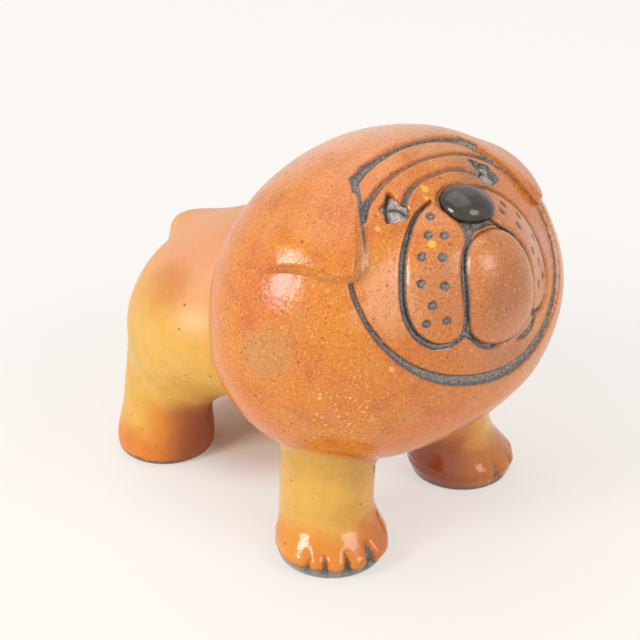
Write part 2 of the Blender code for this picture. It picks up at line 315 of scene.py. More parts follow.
chin = {
    "outline": bothSides([(0, 2.2), (3.0, 1.7), (5.3, 0.0), (6.7, -2.9), (7.3, -6.2), (7.5, -9.6),
                          (7.2, -12.2), (5.9, -14.1), (3.6, -15.7), (0, -16.4)])[:-1],
    "centre": (0, -7.5),
    "dome": 1.8,
    "inset": 0.2,
    "edge": 1.6,
    "edgeInk": 0.15,
    "rows": 30,
    "deep": 1.2,
}
pad = {
    "around": 300,
    "pocket": 1.5,  # how far the ball is let in under a pad
    "pocketSlope": 0.9,
    "edgeDrop": 0.8,  # how far the edge rolls down
    "skirt": 1.2,  # how far the edge reaches below the face
}
nose = {
    "centre": (1.2, 7.5),
    "half": (5.1, 4.25),
    "round": 2.2,
    "turn": -6.0,
    "bulge": 2.65,
    "seat": 0.2,
    "deep": 1.6,
    "rim": 1.03,  # the line pressed round it
    "around": 120,
    "rows": 60,
    "curl": (2, 118),  # degrees from the top to where it tucks under
}
eye = {
    "outline": [(10.2, 15.2), (10.0, 13.4), (9.6, 12.2), (9.1, 11.2), (9.6, 10.1), (10.7, 9.3), (12.3, 9.6),
                (13.9, 10.1), (13.5, 11.5), (13.5, 12.9), (12.1, 13.6), (11.1, 14.5)],
    "centre": (11.3, 11.4),
    "creases": [[(10.4, 14.9), (11.8, 13.5), (12.7, 12.2), (13.5, 10.5)],
                [(12.7, 12.6), (11.3, 12.3), (10.1, 11.5), (9.8, 10.4)]],
    "creaseDepth": 1.5,
    "creaseInk": 0.9,
    "creaseSoft": 0.75,
    "rise": 0.8,  # per mm away from the creases
    "riseMost": 0.9,
    "pocket": 1.7,
    "wall": 0.35,
    "skirt": 2.0,
    "deep": (0.1, 0.8),
    "ink": {-1: 0.0, 1: 0.3},
    "inkSoft": 0.4,
    "around": 120,
    "rows": 14,
}
lineCut = {"flat": 1.3, "slope": 0.75}  # a tool line's floor, and how its sides fall
inkSoft = 0.8  # width over which oxide fades

faceLines = [
    {"points": ringLine, "width": (0.9, 1.1, 1.4, 1.4, 1.2, 0.9, 0.8), "depth": 0.7,
     "ink": (0.7, 0.8, 1.1, 1.1, 0.9, 0.6, 0.5)},
    {"points": bothSides(plate["browTop"]), "width": (1.3, 1.0, 0.8, 0.7, 0.7, 0.8, 1.2), "depth": 0.6,
     "ink": (1.2, 0.9, 0.7, 0.6, 0.6, 0.7, 0.9)},
    {"points": bothSides([(0, 18.4), (5.2, 18.0), (9.5, 17.0), (13.0, 15.5), (15.1, 14.3), (17.0, 12.5)]),
     "width": (1.7, 1.1, 0.9, 0.9, 0.9, 1.1, 1.7), "depth": 0.6, "ink": (1, 0.9, 0.7, 0.6, 0.7, 0.9, 1),
     "stain": (0.75, 0.48, 0.46, 0.44, 0.46, 0.5, 0.7)},
    {"points": bothSides([(0, 15.0), (4.2, 14.7), (7.2, 13.6), (9.0, 12.2)]),
     "width": (1.2, 1.0, 0.9, 1.0, 1.2), "depth": 0.55, "ink": (0.9, 0.8, 0.6, 0.7, 0.9),
     "stain": (0.54, 0.47, 0.44, 0.46, 0.5)},
    {"points": bothSides([(0, 3.0), (2.0, 2.9), (3.8, 2.3)]), "width": (1.5, 0.9, 0.9, 1.2), "depth": 0.6,
     "ink": (1.1, 1, 1, 1)},
]
chinFold = {
    -1: [(7.9, -12.4), (6.4, -13.5), (4.5, -15.1), (2.4, -16.2), (0.9, -16.4)],
    1: [(10.4, -13.6), (8.6, -15.4), (6.3, -16.3), (4.4, -16.6)],
}
for side, inkShare in ((-1, 1.0), (1, 0.7)):  # the lines on the left get less oxide
    jowlRim = hung(onSide(jowl["outline"], side))
    faceLines += [
        {"points": jowlRim[:10], "width": (0.5, 0.9, 1.15, 1.25, 1.3, 1.25), "depth": 0.75,
         "ink": [inkShare * ink for ink in (0.2, 0.9, 1.1, 1.1, 1.1, 1)]},
        {"points": jowlRim[9:17], "width": (1.2, 1.15, 1.05, 1.0, 1.1), "depth": 0.75,
         "ink": (inkShare,)},
        {"points": hung(onSide(chinFold[side], side)), "width": (1.0, 1.2, 1.4, 1.2, 0.7), "depth": 0.7,
         "ink": (1, 1.1, 1.1, 1.1, 0.6)},
        {"points": onSide(plate["browTop"][-1:] + plate["earFront"], side), "width": (1.2, 1.3, 0.8, 0.5),
         "depth": 0.25, "ink": (1, 1.1, 0.8, 0.2)},
    ]


def noseSpots(turn, share):  # spots of the nose, turned a little as it was pressed on
    shape = np.stack([np.cos(turn), np.sin(turn)], -1)
    shape = shape / (np.sum(np.abs(shape)**nose["round"], axis=1)**(1 / nose["round"]))[:, None]
    shape = np.asarray(share)[:, None, None] * shape * np.array(nose["half"])
    spin = math.radians(nose["turn"])
    along, over = np.array([math.cos(spin), math.sin(spin)]), np.array([-math.sin(spin), math.cos(spin)])
    return np.array(nose["centre"]) + shape[..., :1] * along + shape[..., 1:] * over


noseRim = noseSpots(np.linspace(0, math.tau, 19), [nose["rim"]])[0]
# the line pressed round the nose: its oxide is darkest along the underside, where it also paints the nose's
# shadow
faceLines.append({"points": noseRim, "width": (0.9,), "depth": 0.4,
                  "ink": (0.8, 0.4, 0.4, 0.5, 0.9, 1.0, 0.8),
                  "stain": (0.8, 0.42, 0.42, 0.42, 0.5, 0.9, 0.8)})


def alongLine(along, values):  # values given at even steps of a line
    return np.interp(along, np.linspace(0, 1, len(values)), values)


def cutAt(gap, width, cut):  # a rounded cut, 1 along its middle
    return np.minimum(cut["flat"] * (1 - ease(gap / (cut["slope"] * width))), 1)


def inked(inside):  # oxide at a distance inside the edge of a stain
    return 0.5 + inside / inkSoft


def carve(points):  # depth of the tool lines and the oxide left in them
    depth = np.zeros(len(points))
    oxide = np.zeros(len(points))
    for line in faceLines:
        route = onHead(throughPoints(line["points"], 8))
        gap, along = nearLine(points, route)
        width, ink, stain = (alongLine(along, line.get(key, (1,))) for key in ("width", "ink", "stain"))
        depth = np.maximum(depth, line["depth"] * cutAt(gap, width, lineCut))
        oxide = np.maximum(oxide, np.minimum(inked(0.5 * width * ink - gap), stain))
    return depth, np.clip(oxide, 0, 1)


def padOutline(piece, side, count, inset):  # the edge of a pad, drawn in from the middle of its tool line
    line = throughPoints(hung(onSide(piece["outline"], side)), 10, closed=True)
    middle = hung(onSide([piece["centre"]], side))[0]
    line = evenly(line, count, closed=True)
    return line - unit(line - middle) * inset, middle


def makeHead():
    face = np.arange(head["faceStep"], head["faceEnd"], head["faceStep"])
    steps = np.linspace(head["faceStep"], head["backStep"], head["wideningRings"])
    back = head["faceEnd"] + np.cumsum(steps)
    back = np.concatenate([back, np.arange(back[-1] + head["backStep"], head["backEnd"], head["backStep"])])
    polar = np.radians(np.concatenate([face, back]))
    turn = fullTurn(head["around"])
    front = unit(faceOut / headHalf)
    over = np.array([0, front[2], -front[1]])
    ring = np.cos(turn)[:, None] * faceAcross + np.sin(turn)[:, None] * over
    ball = np.cos(polar)[:, None, None] * front + np.sin(polar)[:, None, None] * ring
    rings = headCentre + ball * headHalf
    points = rings.reshape(-1, 3)
    nearFace = np.repeat(np.arange(len(polar)) < len(face) + head["pastFace"], head["around"])
    height = np.zeros(len(points))
    oxide = np.zeros(len(points))
    facePoints = points[nearFace]
    depth, marks = carve(facePoints)
    relief = faceRelief(facePoints) - depth
    for side in (-1, 1):
        for piece in (jowl, chin) if side > 0 else (jowl,):
            gap = outlineGap(facePoints, padOutline(piece, side, 200, 0)[0])
            relief -= pad["pocket"] * ease(-gap / pad["pocketSlope"])
        gap = outlineGap(facePoints, throughPoints(onSide(eye["outline"], side), 4, closed=True))
        relief -= eye["pocket"] * ease(0.5 - gap / eye["wall"])
        marks = np.maximum(marks, np.clip(0.5 - (gap - eye["ink"][side]) / eye["inkSoft"], 0, 1))
    height[nearFace] = relief
    oxide[nearFace] = marks
    shaped = lifted(points, height).reshape(rings.shape)
    poles = lifted(headCentre + np.array([front, -front]) * headHalf, np.array([-head["poleSunk"], 0]))
    oxide = oxide.reshape(rings.shape[:2])
    return makePiece("head_ball", "head_shell", shaped, poles, oxide)


def padRings(outline, middle, rows):  # spots from the middle of a pad out, closer together at its edge
    share = np.concatenate([np.linspace(0.03, 0.78, rows), np.linspace(0.8, 1, rows)])
    return middle + share[:, None, None] * (outline - middle), share


def rolledEdge(gap, width):  # 0 over a pad, 1 at its edge
    toEdge = 1 - np.clip(gap / width, 0, 1)
    return 1 - np.sqrt(1 - toEdge**2)


def makePad(name, node, spots, middle, height, oxide, skirt, ends):
    outline = onHead(spots[-1])
    rings = lifted(onHead(spots.reshape(-1, 2)), height).reshape(spots.shape[:2] + (3,))
    rings = np.concatenate([rings, lifted(outline, faceRelief(outline) - skirt)[None]])
    oxide = np.concatenate([np.clip(oxide, 0, 1), np.ones(len(outline))]).reshape(rings.shape[:2])
    centre = onHead([middle])
    poles = np.vstack([lifted(centre, faceRelief(centre) + end) for end in ends])
    return makePiece(name, node, rings, poles, oxide)


def makeJowl(name, side):
    outline, middle = padOutline(jowl, side, pad["around"], jowl["inset"])
    spots = padRings(outline, middle, jowl["rows"])[0]
    points = onHead(spots.reshape(-1, 2))
    gap = nearLine(points, onHead(backToStart(outline)))[0]
    roll = (pad["edgeDrop"] + jowl["raise"]) * rolledEdge(gap, jowl["edge"])
    height = faceRelief(points) + jowl["raise"] - roll
    oxide = inked(jowl["edgeInk"] - gap) * ease(nearLine(points, onHead(noseRim))[0] / jowl["offNose"])
    for spot in onHead(hung(onSide(jowl["dots"], side))):
        dot = np.linalg.norm(points - spot, axis=1)
        height -= jowl["dotDepth"] * cutAt(dot, jowl["dotWidth"], jowl["dotCut"])
        oxide = np.maximum(oxide, inked(jowl["dotInk"][side] * jowl["dotWidth"] - dot))
    ends = (jowl["raise"], jowl["raise"] - jowl["deep"])
    return makePad(name + "_pad", name, spots, middle, height, oxide, pad["skirt"], ends)


def makeChin():
    outline, middle = padOutline(chin, 1, pad["around"], chin["inset"])
    spots, share = padRings(outline, middle, chin["rows"])
    points = onHead(spots.reshape(-1, 2))
    gap = nearLine(points, onHead(backToStart(outline)))[0]
    dome = chin["dome"] * np.sqrt(np.maximum(1 - np.repeat(share, len(outline))**2, 0))
    height = faceRelief(points) + dome - pad["edgeDrop"] * rolledEdge(gap, chin["edge"])
    oxide = inked(chin["edgeInk"] - gap)
    ends = (chin["dome"], -chin["deep"])
    return makePad("chin_dome", "chin_boss", spots, middle, height, oxide, pad["skirt"], ends)


def makeNose():
    turn = fullTurn(nose["around"])
    bow = np.radians(np.linspace(*nose["curl"], nose["rows"]))
    spots = noseSpots(turn, np.sin(bow))
    points = onHead(spots.reshape(-1, 2))
    height = faceRelief(points) - nose["seat"] + nose["bulge"] * np.repeat(np.cos(bow), len(turn))
    rings = lifted(points, height).reshape(spots.shape[:2] + (3,))
    centre = onHead([nose["centre"]])
    top = faceRelief(centre) - nose["seat"] + nose["bulge"]
    poles = np.vstack([lifted(centre, top), lifted(centre, top - nose["deep"] * nose["bulge"])])
    return makePiece("nose_bead", "nose", rings, poles)


def makeEye(name, side):
    outline = evenly(throughPoints(onSide(eye["outline"], side), 8, closed=True), eye["around"], closed=True)
    middle = np.array(onSide([eye["centre"]], side)[0])
    spots = padRings(outline, middle, eye["rows"])[0]
    points = onHead(spots.reshape(-1, 2))
    fold = np.min([nearLine(points, onHead(onSide(crease, side)))[0] for crease in eye["creases"]], axis=0)
    height = faceRelief(points) - eye["creaseDepth"] + np.minimum(eye["rise"] * fold, eye["riseMost"])
    # darkest along the creases: dark slip, deepened as painted shade between the facets
    oxide = eye["creaseInk"] - fold / eye["creaseSoft"]
    above, below = eye["deep"]
    ends = (above - eye["creaseDepth"], -below - eye["creaseDepth"])
    return makePad(name + "_stamp", name, spots, middle, height, oxide, eye["skirt"], ends)


# ears: flaps with a rounded free edge, running out to nothing where they grow from the ball

ear = {
    "foot": [(-7.2, 26.5), (-8.5, 25.6), (-10.1, 24.3), (-11.8, 22.7), (-13.5, 20.9), (-15.0, 18.8),
             (-15.8, 16.9), (-15.3, 15.6), (-13.4, 15.1), (-10.8, 15.5), (-8.0, 15.8), (-5.0, 15.5),
             (-2.2, 14.5), (0.6, 13.2)],  # (back, up) from the ball's centre
    "hinge": [(-7.2, 26.5), (-3.6, 27.0), (0.0, 26.2), (2.8, 24.0), (4.0, 21.2), (4.2, 18.4), (3.2, 15.6),
              (0.6, 13.2)],
    "thick": (0.05, 0.3, 0.7, 1.1, 1.5, 1.75, 1.9, 1.9, 1.7, 1.2, 0.5),
    "thickBy": {-1: 1.0, 1: 0.7},
    "bevel": 0.65,  # how far the wall leans in, for each mm of thickness
    "steep": (0.85, 0.6),  # share of the thickness that is wall, in front and below
    "tip": 0.42,  # where the front edge turns into the lower one
    "turn": 0.16,  # and the share of it that the turn takes
    "puff": 6.0,  # the rest rises over this width
    "fade": 6.0,  # and runs out over this width at the hinge
    "sunk": 0.06,  # where it has run out
    "round": 0.45,
    "root": 1.7,  # how deep it is let into the ball
    "hollow": 1.4,  # how the wall curves up from its foot
    "footSunk": 0.1,
    "endSunk": 0.6,
    "stain": 0.38,  # the wall is browner, as painted shade, below what shows as oxide
    "along": 260,
    "rows": 56,
    "crowd": 1.5,  # rows lie closer near the free edge
    "wallRows": 6,
    "backRows": 6,
    "smooth": 31,
}


def makeEar(name, side):
    foot = evenly(throughPoints(ear["foot"]), ear["along"])
    hinge = evenly(throughPoints(ear["hinge"]), ear["along"])
    along = np.linspace(0, 1, ear["along"])
    edgeThick = alongLine(along, ear["thick"]) * ear["thickBy"][side]
    frontSteep, lowerSteep = ear["steep"]
    edgeSteep = frontSteep + (lowerSteep - frontSteep) * ease((along - ear["tip"]) / ear["turn"])
    ahead = np.gradient(foot, axis=0)
    inward = unit(np.stack([-ahead[:, 1], ahead[:, 0]], -1))
    inward *= np.sign(np.sum(inward * (hinge - foot)))
    soft = np.hanning(ear["smooth"])
    soft /= soft.sum()
    half = ear["smooth"] // 2
    run = np.pad(inward, ((half, half), (0, 0)), "edge")
    inward = np.stack([np.convolve(axis, soft, "valid") for axis in run.T], -1)
    free = foot + inward * (ear["bevel"] * edgeThick)[:, None]
    part = np.linspace(0, 1, ear["rows"])**ear["crowd"]
    spots = free[:, None] + (hinge - free)[:, None] * part[None, :, None]
    flat = spots.reshape(-1, 2)
    edge = nearLine(flat, free)[0]
    near = 1 / (np.sum((flat[:, None] - free[None])**2, axis=-1) + 1.0)**2
    near /= near.sum(axis=1, keepdims=True)
    thick = near @ edgeThick
    height = thick * (1 - (1 - near @ edgeSteep) * (1 - np.clip(edge / ear["puff"], 0, 1))**2)
    height -= np.minimum(ear["round"], 0.5 * thick) * rolledEdge(edge, ear["round"])
    height = (height + ear["sunk"]) * ease(nearLine(flat, hinge)[0] / ear["fade"]) - ear["sunk"]
    outside = height.reshape(spots.shape[:2])
    places, heights = [foot], [np.full(len(foot), -ear["root"])]
    for share in np.linspace(0, 1, ear["wallRows"], endpoint=False):  # the wall, hollow at its foot
        places.append(foot + (free - foot) * share)
        heights.append(outside[:, 0] * share**ear["hollow"] - ear["footSunk"] * (1 - share))
    wallEnd = len(places)
    places += list(spots.transpose(1, 0, 2))
    heights += list(outside.T)
    for share in np.linspace(1, 0, ear["backRows"]):  # the side against the ball
        places.append(foot + (hinge - foot) * share)
        heights.append(np.full(len(foot), -ear["root"]))
    places = np.stack(places, 1)[1:-1]
    heights = np.stack(heights, 1)[1:-1]
    points = besideHead(places.reshape(-1, 2), side)
    rings = lifted(points, heights.reshape(-1)).reshape(heights.shape + (3,))
    ends = besideHead(np.array([foot[0], foot[-1]]), side)
    poles = lifted(ends, np.full(2, -ear["endSunk"]))
    oxide = np.zeros(heights.shape)
    # painted shade: a brown tint down the ear's wall
    stain = ear["stain"] * np.minimum(edgeThick[1:-1], 1)
    oxide[:, :wallEnd] = stain[:, None] * np.linspace(1, 0.5, wallEnd)
    return makePiece(name + "_flap", name, rings, poles, oxide)


# trunk: a rounder, smaller ball behind, seated against the head

trunk = {
    "depth": 49.6,
    "halfHeight": 16.8,
    "taper": 0.0006,
    "uneven": 0.2,
    "wave": 34.0,
    "seat": 1.0,  # how far it goes into the head
    "search": (1, 170, 340),  # degrees from the rump where the head is looked for
    "rows": 150,
    "around": 300,
}

trunkLow, trunkHigh = span("trunk_shell")
trunkHalf = np.array([(trunkHigh[0] - trunkLow[0]) / 2, trunk["depth"] / 2, trunk["halfHeight"]])
trunkCentre = np.array([0, trunkHigh[1] - trunkHalf[1], trunkHigh[2] - trunkHalf[2]])


def trunkWaves(points):
    return trunk["uneven"] * waves(points, trunk["wave"], 8)


def trunkTaper(points):  # the rump narrows upwards and to the back
    off = np.maximum(points - trunkCentre, 0)
    return 1 - trunk["taper"] * off[..., 1] * off[..., 2]


def ballGap(points, centre, half):  # distance to a ball of three radii, below 0 inside
    inner = np.linalg.norm((points - centre) / half, axis=-1)
    slope = np.linalg.norm((points - centre) / half**2, axis=-1)
    return inner * (inner - 1) / np.maximum(slope, 1e-9)


def headGap(points):
    return ballGap(points, headCentre, headHalf) - headWaves(points)


def trunkGap(points):
    even = points.copy()
    even[..., 0] /= trunkTaper(points)
    return ballGap(even, trunkCentre, trunkHalf) - trunkWaves(points)


def ballRings(centre, half, polar, turn):  # polar runs from the pole at the back
    ring = np.stack([np.cos(turn), np.zeros(len(turn)), np.sin(turn)], -1)
    ball = np.cos(polar)[..., None] * np.array([0, 1.0, 0]) + np.sin(polar)[..., None] * ring
    return centre + ball * half


def firstInside(points, gap, stops, deep=0):  # the stop where each line of points has gone into a shape
    inside = gap(points.reshape(-1, 3)).reshape(points.shape[:2]) < -deep
    return stops[np.where(inside.any(axis=0), np.argmax(inside, axis=0), -1)]


def makeTrunk():
    turn = fullTurn(trunk["around"])
    polar = np.radians(np.linspace(*trunk["search"]))
    points = ballRings(trunkCentre, trunkHalf, polar[:, None], turn)
    stop = firstInside(points, headGap, polar, trunk["seat"])
    angle = np.linspace(0.01, 1, trunk["rows"])[:, None] * stop
    points = ballRings(trunkCentre, trunkHalf, angle, turn)
    rings = settle(points.reshape(-1, 3), trunkGap).reshape(points.shape)
    poles = np.vstack([trunkCentre + [0, trunkHalf[1], 0], rings[-1].mean(axis=0)])
    poles[:1] = settle(poles[:1], trunkGap)
    return makePiece("trunk_ball", "trunk_shell", rings, poles)


# limbs: legs and tail, run into the ball that carries them with a soft fillet

frontLeg = {
    "inset": 11.7,  # from the front of the solid to the middle of the foot
    "radius": [(0, 9.0), (0.3, 9.6), (1.0, 9.9), (1.6, 10.1), (2.8, 10.5), (4.5, 10.3), (6.2, 9.6),
               (8.0, 9.0), (10.0, 8.8), (14, 8.8), (40, 9.0)],  # by height
    "reach": [(0, 2.2), (4, 2.3), (6.5, 1.2), (9, 0.0), (11, -0.3)],
    "reachBy": {-1: 1.0, 1: 0.7},
    "reachOut": 18.0,  # degrees that the paw points outwards
    "shift": {-1: (-0.3, 0.3), 1: (0.4, 1.4)},
    "leanUp": {-1: 0.9, 1: 7.0},
    "top": 30.0,
    "toeOut": 35.0,  # degrees that the row of toes is turned outwards
    "notches": (-36, -9, 14, 32),  # degrees round from the middle of the toes, inner notch first
    "notchDepth": (1.9, 1.5, 1.2, 0.8),
    "notchWidth": (2.6, 1.5, 1.3, 1.2),
    "notchTop": (6.2, 5.8, 5.4, 5.8),
    "notchOxide": (0.9, 0.85, 0.7, 0.15),
    "notchBy": {-1: 1.0, 1: 0.55},
    "notchBase": (0.9, 1.9),  # the notches stop above a plain sole
    "pawRadius": 10.0,  # notch widths are measured on this circle
    "toeEnd": 22,  # degrees from the last notch to the end of the row
    "toeFade": 0.28,  # the row runs out slowly at its ends
    "knuckle": {-1: 0.65, 1: 0.15},  # how far the toes swell between the notches
    "knuckleUp": 3.4,
    "knuckleReach": 3.2,
    "bare": {-1: 1.8, 1: 0.8},  # height without glaze
    "fillet": (1.2, 1.2, 1.6),  # towards the outer back, the outer front and the inside
}
rearLeg = {
    "inset": 9.8,  # from the back and the outer side
    "radius": [(0, 8.6), (0.35, 9.2), (1.0, 9.6), (2.5, 9.8), (4.5, 9.7), (7.5, 9.2), (11, 8.9), (40, 9.1)],
    "reach": [(0, 0), (40, 0)],
    "reachBy": {-1: 1.0, 1: 1.0},
    "reachOut": 0.0,
    "shift": {-1: (-0.7, -0.75), 1: (0.7, -0.75)},
    "leanUp": {-1: 3.2, 1: 3.2},
    "top": 25.5,
    "toeOut": 0.0,
    "notches": (),
    "bare": {-1: 0.7, 1: 0.7},
    "fillet": (3.0, 14.0, 4.0),
}
tail = {
    "radii": (5.2, 7.4, 3.8),
    "back": 0.2,
    "up": -0.9,
    "fillet": 5.0,
    "search": (2, 150, 200),  # degrees from its tip where the trunk is looked for
    "rows": 40,
    "around": 120,
}
limb = {
    "around": 224,
    "rows": 110,
    "crowd": 1.25,  # rows lie closer near the sole
    "soleRings": 3,
    "leanOver": 30.0,  # height over which a leg leans
    "searchFrom": 5.0,  # height from where the ball is looked for
    "searchOver": 1.5,  # and how far on over the dome, in its radii
    "searchSteps": 400,
    "filletOver": 12.0,  # the broad fillet runs out over this height
    "filletStart": 0.2,  # with this share of it below the leg's top
    "bareSoft": 1.8,
    "bareOuter": 0.5,  # more bare clay on the outer side
    "notchInk": 1.3,
    "skirt": 26,  # rings out over the ball
    "skirtPast": 1.03,
    "leastGap": 0.2,
    "leastPace": 0.1,
    "stride": 1.6,
    "rim": 1.0,  # how far the last ring dips into the ball
    "probe": 0.01,  # step for measuring slopes
}


def softJoin(a, b, fillet):
    near = np.maximum(fillet - np.abs(a - b), 0) / fillet
    return np.minimum(a, b) - near * near * fillet / 4


def slopeOf(gap, points):
    slope = np.zeros_like(points)
    for axis in range(3):
        step = np.zeros(3)
        step[axis] = limb["probe"]
        slope[:, axis] = (gap(points + step) - gap(points - step)) / (2 * limb["probe"])
    return slope


def settle(points, gap, rounds=4):  # move points onto a surface
    for _ in range(rounds):
        slope = slopeOf(gap, points)
        points = points - slope * (gap(points) / np.maximum(np.sum(slope**2, axis=1), 0.05))[:, None]
    return points


def skirtRings(start, carrier, own, fillet, count):  # rings over the carrying ball, out to the fillet's end
    rings = []
    points = start
    for left in range(count, 0, -1):
        normal = unit(slopeOf(carrier, points))
        away = slopeOf(own, points)
        away = away - normal * np.sum(away * normal, axis=1, keepdims=True)
        pace = np.linalg.norm(away, axis=1)
        lack = np.maximum(limb["skirtPast"] * fillet(points) - own(points), limb["leastGap"]) / left
        stride = np.minimum(lack / np.maximum(pace, limb["leastPace"]), limb["stride"])
        points = settle(points + unit(away) * stride[:, None], carrier, 2)
        rings.append(points)
    return np.array(rings)


def makeLimb(name, node, column, carrier, own, fillet, oxideOf):
    def joined(points):
        return softJoin(carrier(points), own(points), fillet(points))

    shaped = settle(column.reshape(-1, 3), joined).reshape(column.shape)
    shaped[:limb["soleRings"]] = column[:limb["soleRings"]]  # the sole stays flat
    skirt = skirtRings(column[-1], carrier, own, fillet, limb["skirt"])
    last = skirt[-1] - unit(slopeOf(carrier, skirt[-1])) * limb["rim"]
    skirt = settle(skirt.reshape(-1, 3), joined).reshape(skirt.shape)
    rings = np.concatenate([shaped, skirt, last[None]])
    poles = np.vstack([column[0].mean(axis=0), last.mean(axis=0)])
    oxide = oxideOf(rings.reshape(-1, 3)).reshape(rings.shape[:2])
    return makePiece(name, node, rings, poles, oxide)


def turnFrom(angle, middle):
    return (angle - middle + math.pi) % math.tau - math.pi


def makeLeg(name, leg, side, foot, carrier):
    toes = np.radians(-90 + side * leg["toeOut"])
    paw = np.radians(-90 + side * leg["reachOut"])
    forward = np.array([math.cos(paw), math.sin(paw)])
    up, radius = np.array(leg["radius"]).T
    reachUp, reach = np.array(leg["reach"]).T
    reach = reach * leg["reachBy"][side]
    foot = foot + np.array(leg["shift"][side])
    crown = np.interp(leg["top"], up, radius)  # the leg ends in a dome inside the ball

    def axisAt(z):
        inward = leg["leanUp"][side] * ease(z / limb["leanOver"]) * -side
        middle = foot + np.interp(z, reachUp, reach)[..., None] * forward
        return middle + np.stack([inward, np.zeros_like(inward)], -1)

    def filletAt(points):
        flat = unit(points[:, :2] - axisAt(np.clip(points[:, 2], 0, leg["top"])))
        ways = unit(np.array([(side, 0.9), (side, -1.0), (-side, 0.0)]))
        shares = np.maximum(flat @ ways.T, 0)**2 + 0.001
        broad = shares @ np.array(leg["fillet"]) / shares.sum(axis=1)
        least = min(leg["fillet"])
        above = (points[:, 2] - leg["top"]) / limb["filletOver"]
        return least + (broad - least) * (1 - ease(above + limb["filletStart"]))

    def notchAt(z, angle, depths):
        cut = np.zeros(np.broadcast(z, angle).shape)
        for turn, depth, width, top in zip(leg["notches"], depths, leg["notchWidth"], leg["notchTop"]):
            off = np.abs(turnFrom(angle, toes + side * np.radians(turn))) * leg["pawRadius"]
            narrow = np.clip(1 - z / top, 0, 1)
            low, high = leg["notchBase"]
            deep = depth * np.sqrt(narrow) * ease((z - low) / (high - low))
            cut = np.maximum(cut, deep * (1 - ease(off / (width * (0.45 + 0.55 * narrow)))))
        return cut * leg["notchBy"][side]

    def toesAt(angle):  # a rounded lobe for each toe
        row = np.zeros(angle.shape)
        first, last = leg["notches"][0] - leg["toeEnd"], leg["notches"][-1] + leg["toeEnd"]
        ends = np.radians([first, *leg["notches"], last])
        for start, end in zip(ends, ends[1:]):
            off = side * turnFrom(angle, toes + side * (start + end) / 2) * 2 / (end - start)
            if start == ends[0] or end == ends[-1]:
                off = np.where((off < 0) == (start == ends[0]), off * leg["toeFade"], off)
            row = np.maximum(row, 1 - ease(np.abs(off))**1.5)
        return row

    def radiusAt(z, angle):
        plain = np.interp(z, up, radius)
        if not leg["notches"]:
            return plain + 0 * angle
        swell = leg["knuckle"][side] * ease(1 - np.abs(z - leg["knuckleUp"]) / leg["knuckleReach"])
        return plain + swell * toesAt(angle) - notchAt(z, angle, leg["notchDepth"])

    def own(points):
        z = np.clip(points[:, 2], 0, leg["top"])
        flat = points[:, :2] - axisAt(z)
        angle = np.arctan2(flat[:, 1], flat[:, 0])
        return np.hypot(np.linalg.norm(flat, axis=1), points[:, 2] - z) - radiusAt(z, angle)

    def at(run, angle):  # run goes up the leg and on over its dome
        z = np.minimum(run, leg["top"])
        bow = np.clip((run - leg["top"]) / crown, 0, math.pi / 2)
        out = radiusAt(z, angle) * np.cos(bow)
        flat = axisAt(z) + out[..., None] * np.stack([np.cos(angle), np.sin(angle)], -1)
        return np.concatenate([flat, (z + crown * np.sin(bow))[..., None]], -1)

    angle = fullTurn(limb["around"])
    runs = np.linspace(limb["searchFrom"], leg["top"] + crown * limb["searchOver"], limb["searchSteps"])
    meet = firstInside(at(*np.broadcast_arrays(runs[:, None], angle[None])), carrier, runs)
    share = np.linspace(0, 1, limb["rows"])**limb["crowd"]
    column = at(*np.broadcast_arrays(share[:, None] * meet[None], angle[None]))

    def oxideOf(points):
        flat = points[:, :2] - axisAt(points[:, 2])
        outer = ease(unit(flat) @ np.array([side, -0.2]))
        bare = leg["bare"][side] * (1 + limb["bareOuter"] * outer)
        marks = 0.5 + (bare - points[:, 2]) / limb["bareSoft"]
        if leg["notches"]:
            cut = notchAt(points[:, 2], np.arctan2(flat[:, 1], flat[:, 0]), leg["notchOxide"])
            marks = np.maximum(marks, limb["notchInk"] * cut)
        return np.clip(marks, 0, 1)

    return makeLimb(name + "_clay", name, column, carrier, own, filletAt, oxideOf)


def makeTail():
    low, high = span("tail")
    radii = np.array(tail["radii"])
    centre = np.array([0, high[1] - radii[1] + tail["back"], (low[2] + high[2]) / 2 + tail["up"]])

    def own(points):
        return ballGap(points, centre, radii)

    def fillet(points):
        return np.full(len(points), tail["fillet"])

    def plain(points):
        return np.zeros(len(points))

    turn = fullTurn(tail["around"])
    polar = np.radians(np.linspace(*tail["search"]))
    stop = firstInside(ballRings(centre, radii, polar[:, None], turn), trunkGap, polar)
    angle = np.linspace(0.02, 1, tail["rows"])[:, None] * stop
    column = ballRings(centre, radii, angle, turn)
    return makeLimb("tail_stub", "tail", column, trunkGap, own, fillet, plain)


pieces = {"head": makeHead()}
print("head shaped")
for side, word in ((-1, "right"), (1, "left")):
    pieces[word + "Jowl"] = makeJowl(word + "_jowl", side)
    pieces[word + "Eye"] = makeEye(word + "_eye", side)
    pieces[word + "Ear"] = makeEar(word + "_ear", side)
pieces["chin"] = makeChin()
pieces["nose"] = makeNose()
print("face shaped")
pieces["trunk"] = makeTrunk()
for side, word in ((-1, "right"), (1, "left")):
    low, high = span("front_" + word + "_leg")
    foot = np.array([(low[0] + high[0]) / 2, low[1] + frontLeg["inset"]])
    pieces[word + "FrontLeg"] = makeLeg("front_" + word + "_leg", frontLeg, side, foot, headGap)
    low, high = span("rear_" + word + "_leg")
    outer = max(abs(low[0]), abs(high[0]))
    foot = np.array([side * (outer - rearLeg["inset"]), high[1] - rearLeg["inset"]])
    pieces[word + "RearLeg"] = makeLeg("rear_" + word + "_leg", rearLeg, side, foot, trunkGap)
pieces["tail"] = makeTail()
print("body shaped")


# shader tools

